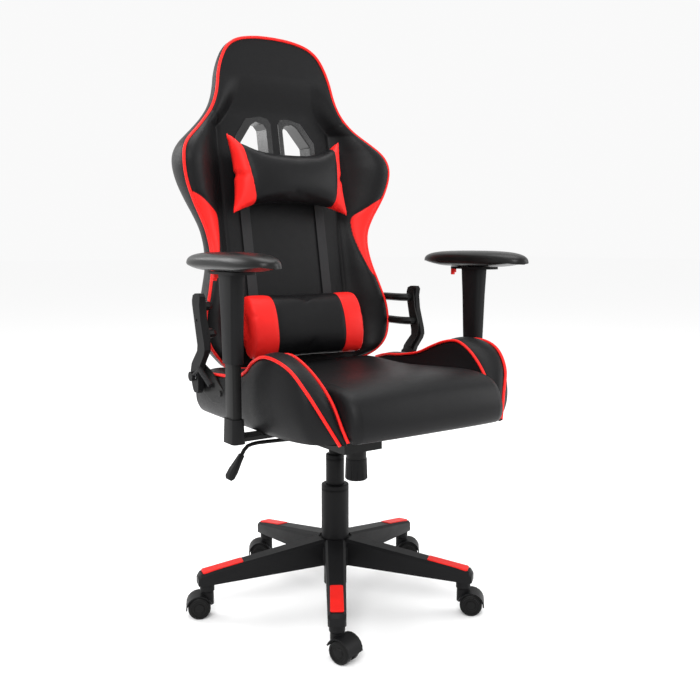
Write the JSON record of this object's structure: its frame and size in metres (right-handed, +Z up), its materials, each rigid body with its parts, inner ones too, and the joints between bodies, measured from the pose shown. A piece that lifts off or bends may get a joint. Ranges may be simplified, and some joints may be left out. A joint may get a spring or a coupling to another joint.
{
  "type": "gaming chair",
  "caption": "High-backed swivel gaming chair with side bolsters, a head pillow and a lumbar pillow, height-adjustable armrests, a gas lift, tilt, recline and a star base on casters.",
  "frame": {"origin": "on the floor, under the middle of the chair's bounding box", "axes": "+Z up, the sitter faces -Y, and +X is the sitter's left"},
  "size_m": [0.6822, 0.6616, 1.25],
  "materials": {
    "nylon": "moulded black nylon with a fine satin texture",
    "red_plastic": "satin red moulding",
    "black_steel": "semi-gloss black powder coat",
    "bright_steel": "bright zinc-plated and ground steel",
    "black_leather": "black synthetic leather with a fine grain and a soft sheen",
    "red_leather": "bright red synthetic leather with a fine grain",
    "black_foam": "soft-touch moulded foam skin"
  },
  "bodies": {
    "base": {"base_star": "nylon", "leg_insert_1": "red_plastic", "leg_insert_2": "red_plastic", "leg_insert_3": "red_plastic", "leg_insert_4": "red_plastic", "leg_insert_5": "red_plastic", "lift_column": "black_steel", "guide_bushing": "nylon", "lower_cover": "nylon"},
    "spindle": {"piston_rod": "bright_steel", "thrust_bearing": "bright_steel"},
    "sleeve": {"cover_sleeve": "nylon"},
    "lift": {"gas_cylinder": "black_steel", "mechanism_housing": "black_steel", "tilt_pin": "bright_steel", "tension_spring": "bright_steel"},
    "knob": {"tension_knob": "nylon"},
    "tilt_lock": {"lever_block": "nylon"},
    "lever": {"height_lever": "black_steel", "lever_grip": "nylon"},
    "seat": {"seat_plate": "black_steel", "seat_pan": "black_steel", "seat_cushion": "black_leather", "seat_bolster_left": "black_leather", "arm_bracket_left": "black_steel", "arm_foot_left": "nylon", "recline_plate_left": "black_steel", "recline_pin_left": "bright_steel", "seat_bolster_right": "black_leather", "arm_bracket_right": "black_steel", "arm_foot_right": "nylon", "recline_plate_right": "black_steel", "recline_pin_right": "bright_steel"},
    "back": {"back_frame": "black_steel", "back_cushion": "black_leather", "return_spring": "bright_steel", "opening_trim_left": "nylon", "recline_cover_left": "nylon", "opening_trim_right": "nylon", "recline_cover_right": "nylon"},
    "reclining_lever": {"recline_lever": "nylon"},
    "head_rest": {"head_pillow": "red_leather"},
    "lumbar_rest": {"lumbar_pillow": "red_leather"},
    "caster_1": {"caster_fork_1": "nylon"},
    "wheels_1": {"caster_wheels_1": "nylon"},
    "caster_2": {"caster_fork_2": "nylon"},
    "wheels_2": {"caster_wheels_2": "nylon"},
    "caster_3": {"caster_fork_3": "nylon"},
    "wheels_3": {"caster_wheels_3": "nylon"},
    "caster_4": {"caster_fork_4": "nylon"},
    "wheels_4": {"caster_wheels_4": "nylon"},
    "caster_5": {"caster_fork_5": "nylon"},
    "wheels_5": {"caster_wheels_5": "nylon"},
    "arm_left": {"arm_sleeve_left": "nylon", "arm_pad_left": "black_foam"},
    "trigger_left": {"arm_trigger_left": "red_plastic"},
    "arm_right": {"arm_sleeve_right": "nylon", "arm_pad_right": "black_foam"},
    "trigger_right": {"arm_trigger_right": "red_plastic"}
  },
  "joints": [
    {"name": "caster_1_swivel", "type": "hinge", "parent": "base", "child": "caster_1", "pos_m": [-0.15689, -0.24343, 0.07], "axis": [0, 0, 1], "continuous": true},
    {"name": "caster_1_roll", "type": "hinge", "parent": "caster_1", "child": "wheels_1", "pos_m": [-0.15163, -0.2596, 0.0235], "axis": [0.9511, 0.309, 0], "continuous": true},
    {"name": "caster_2_swivel", "type": "hinge", "parent": "base", "child": "caster_2", "pos_m": [0.17781, -0.22823, 0.07], "axis": [0, 0, 1], "continuous": true},
    {"name": "caster_2_roll", "type": "hinge", "parent": "caster_2", "child": "wheels_2", "pos_m": [0.19003, -0.24004, 0.0235], "axis": [0.6947, 0.7193, 0], "continuous": true},
    {"name": "caster_3_swivel", "type": "hinge", "parent": "base", "child": "caster_3", "pos_m": [0.26678, 0.09477, 0.07], "axis": [0, 0, 1], "continuous": true},
    {"name": "caster_3_roll", "type": "hinge", "parent": "caster_3", "child": "wheels_3", "pos_m": [0.27999, 0.08408, 0.0235], "axis": [0.6293, 0.7771, 0], "continuous": true},
    {"name": "caster_4_swivel", "type": "hinge", "parent": "base", "child": "caster_4", "pos_m": [-0.01293, 0.27921, 0.07], "axis": [0, 0, 1], "continuous": true},
    {"name": "caster_4_roll", "type": "hinge", "parent": "caster_4", "child": "wheels_4", "pos_m": [-0.0278, 0.28745, 0.0235], "axis": [-0.4848, -0.8746, 0], "continuous": true},
    {"name": "caster_5_swivel", "type": "hinge", "parent": "base", "child": "caster_5", "pos_m": [-0.27477, 0.07018, 0.07], "axis": [0, 0, 1], "continuous": true},
    {"name": "caster_5_roll", "type": "hinge", "parent": "caster_5", "child": "wheels_5", "pos_m": [-0.29017, 0.07737, 0.0235], "axis": [-0.4226, -0.9063, 0], "continuous": true},
    {"name": "seat_swivel", "type": "hinge", "parent": "base", "child": "spindle", "pos_m": [0, -0.0055, 0.1], "axis": [0, 0, 1], "continuous": true},
    {"name": "gas_lift", "type": "slide", "parent": "spindle", "child": "lift", "axis": [0, 0, 1], "range_m": [-0.08, 0]},
    {"name": "sleeve_slide", "type": "slide", "parent": "spindle", "child": "sleeve", "axis": [0, 0, 1], "range_m": [-0.07, 0]},
    {"name": "tension_turn", "type": "hinge", "parent": "lift", "child": "knob", "pos_m": [0, -0.0855, 0.31], "axis": [0, 0, 1], "continuous": true},
    {"name": "tilt_lock_slide", "type": "slide", "parent": "lift", "child": "tilt_lock", "axis": [-1, 0, 0], "range_m": [0, 0.012]},
    {"name": "height_lever_lift", "type": "hinge", "parent": "tilt_lock", "child": "lever", "pos_m": [-0.0555, -0.0805, 0.392], "axis": [0, 1, 0], "range_deg": [0, 5], "stiffness_Nm_per_rad": 4, "springref_deg": -8.59},
    {"name": "seat_tilt", "type": "hinge", "parent": "lift", "child": "seat", "pos_m": [0, -0.0355, 0.376], "axis": [-1, 0, 0], "range_deg": [0, 12], "stiffness_Nm_per_rad": 120, "springref_deg": -14.32},
    {"name": "back_recline", "type": "hinge", "parent": "seat", "child": "back", "pos_m": [0, 0.0865, 0.512], "axis": [-1, 0, 0], "range_deg": [-4, 24]},
    {"name": "recline_lever_lift", "type": "hinge", "parent": "seat", "child": "reclining_lever", "pos_m": [-0.292, 0.0865, 0.512], "axis": [-1, 0, 0], "range_deg": [0, 25], "stiffness_Nm_per_rad": 2, "springref_deg": -17.19},
    {"name": "arm_left_height", "type": "slide", "parent": "seat", "child": "arm_left", "axis": [0, 0, 1], "range_m": [-0.07, 0]},
    {"name": "trigger_left_pull", "type": "slide", "parent": "arm_left", "child": "trigger_left", "axis": [0, 0, 1], "range_m": [0, 0.004], "stiffness_N_per_m": 400, "springref_m": -0.002},
    {"name": "arm_right_height", "type": "slide", "parent": "seat", "child": "arm_right", "axis": [0, 0, 1], "range_m": [-0.07, 0]},
    {"name": "trigger_right_pull", "type": "slide", "parent": "arm_right", "child": "trigger_right", "axis": [0, 0, 1], "range_m": [0, 0.004], "stiffness_N_per_m": 400, "springref_m": -0.002},
    {"name": "head_pillow_slide", "type": "slide", "parent": "back", "child": "head_rest", "axis": [0, 0.1771, 0.9842], "range_m": [-0.06, 0.015]},
    {"name": "lumbar_pillow_slide", "type": "slide", "parent": "back", "child": "lumbar_rest", "axis": [0, 0.1771, 0.9842], "range_m": [0, 0.06]}
  ],
  "couplings": [
    {"joint": "sleeve_slide", "follows": "gas_lift", "ratio": 0.8}
  ]
}
